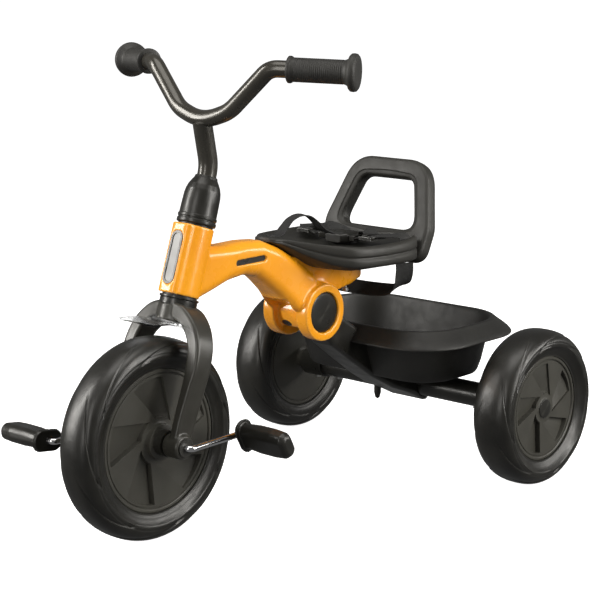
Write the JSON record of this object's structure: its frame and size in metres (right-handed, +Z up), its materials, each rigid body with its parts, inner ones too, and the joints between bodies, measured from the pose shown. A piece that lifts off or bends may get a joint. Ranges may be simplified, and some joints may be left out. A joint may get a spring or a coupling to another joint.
{
  "type": "children tricycle",
  "caption": "Folding ride-on tricycle: moulded frame with fold hinge, saddle with hoop backrest and harness, raised handlebar, pedal-driven front wheel and storage tub.",
  "frame": {"origin": "on the floor, under the middle of the whole tricycle", "axes": "+X to the rider's left, -Y forward (front wheel), +Z up"},
  "size_m": [0.493, 0.73, 0.5873],
  "materials": {
    "frame_orange": "glossy moulded orange",
    "black_plastic": "satin moulded black",
    "bearing_plastic": "smooth bearing plastic",
    "foam_tyre": "satin closed-cell foam skin",
    "grip_rubber": "soft matte rubber",
    "painted_steel": "satin dark bronze-grey paint",
    "webbing": "woven polyester webbing",
    "plated_steel": "bright chrome plate",
    "zinc_steel": "zinc-plated steel",
    "silver_badge": "blank satin silver plate",
    "clear_plastic": "clear glossy plastic"
  },
  "bodies": {
    "frame": {"main_frame": "frame_orange", "head_badge": "silver_badge", "badge_bezel": "black_plastic", "head_bush_lower": "bearing_plastic", "head_bush_upper": "bearing_plastic", "seat_pan": "black_plastic", "backrest": "black_plastic", "seat_screws": "zinc_steel", "back_screws": "zinc_steel", "crotch_strap": "webbing", "buckle_body": "black_plastic", "under_strap": "webbing", "fold_pin": "zinc_steel", "slot_inlay_left": "black_plastic", "slot_inlay_right": "black_plastic", "buckle_tongue_left": "black_plastic", "buckle_tongue_right": "black_plastic", "lap_strap_left": "webbing", "lap_strap_right": "webbing", "strap_adjuster_left": "black_plastic", "strap_adjuster_right": "black_plastic", "button_spring_left": "zinc_steel", "button_spring_right": "zinc_steel"},
    "steering": {"fork": "black_plastic", "steerer_tube": "painted_steel", "lower_collar": "black_plastic", "stem_boot": "black_plastic", "boot_screw": "zinc_steel", "handlebar": "painted_steel", "mudguard": "clear_plastic", "guard_screw": "zinc_steel", "grip_left": "grip_rubber", "grip_right": "grip_rubber", "fork_bush_left": "bearing_plastic", "fork_bush_right": "bearing_plastic"},
    "front_wheel": {"front_tyre": "foam_tyre", "front_disc_left": "black_plastic", "front_disc_right": "black_plastic", "front_hub": "bearing_plastic", "crank_rod": "plated_steel"},
    "pedal_left_body": {"pedal_left": "black_plastic"},
    "pedal_right_body": {"pedal_right": "black_plastic"},
    "rear_carriage": {"rear_arm": "black_plastic", "axle_tube": "black_plastic", "axle_rod": "zinc_steel", "tube_screws": "zinc_steel", "release_peg": "black_plastic", "basket": "black_plastic"},
    "rear_wheel_left": {"rear_tyre_left": "foam_tyre", "rear_disc_outer_left": "black_plastic", "rear_disc_inner_left": "black_plastic", "wheel_bush_left": "bearing_plastic", "axle_cap_left": "black_plastic"},
    "rear_wheel_right": {"rear_tyre_right": "foam_tyre", "rear_disc_outer_right": "black_plastic", "rear_disc_inner_right": "black_plastic", "wheel_bush_right": "bearing_plastic", "axle_cap_right": "black_plastic"},
    "button_left_body": {"fold_button_left": "black_plastic"},
    "button_right_body": {"fold_button_right": "black_plastic"}
  },
  "joints": [
    {"name": "steering_turn", "type": "hinge", "parent": "frame", "child": "steering", "pos_m": [0, -0.24, 0.125], "axis": [0, 0.3223, 0.9466], "range_deg": [-45, 45]},
    {"name": "front_wheel_spin", "type": "hinge", "parent": "steering", "child": "front_wheel", "pos_m": [0, -0.24, 0.125], "axis": [1, 0, 0], "continuous": true},
    {"name": "pedal_left_spin", "type": "hinge", "parent": "front_wheel", "child": "pedal_left_body", "pos_m": [0, -0.14406, 0.12165], "axis": [1, 0, 0], "continuous": true},
    {"name": "pedal_right_spin", "type": "hinge", "parent": "front_wheel", "child": "pedal_right_body", "pos_m": [0, -0.33594, 0.12835], "axis": [1, 0, 0], "continuous": true},
    {"name": "rear_fold", "type": "hinge", "parent": "frame", "child": "rear_carriage", "pos_m": [0, 0.042, 0.2415], "axis": [-1, 0, 0], "range_deg": [0, 60]},
    {"name": "rear_wheel_left_spin", "type": "hinge", "parent": "rear_carriage", "child": "rear_wheel_left", "pos_m": [0.217, 0.26, 0.105], "axis": [1, 0, 0], "continuous": true},
    {"name": "rear_wheel_right_spin", "type": "hinge", "parent": "rear_carriage", "child": "rear_wheel_right", "pos_m": [-0.217, 0.26, 0.105], "axis": [1, 0, 0], "continuous": true},
    {"name": "button_left_press", "type": "slide", "parent": "frame", "child": "button_left_body", "axis": [-1, 0, 0], "range_m": [0, 0.004], "stiffness_N_per_m": 900, "springref_m": -0.001, "deforming": ["button_spring_left"]},
    {"name": "button_right_press", "type": "slide", "parent": "frame", "child": "button_right_body", "axis": [1, 0, 0], "range_m": [0, 0.004], "stiffness_N_per_m": 900, "springref_m": -0.001, "deforming": ["button_spring_right"]}
  ]
}
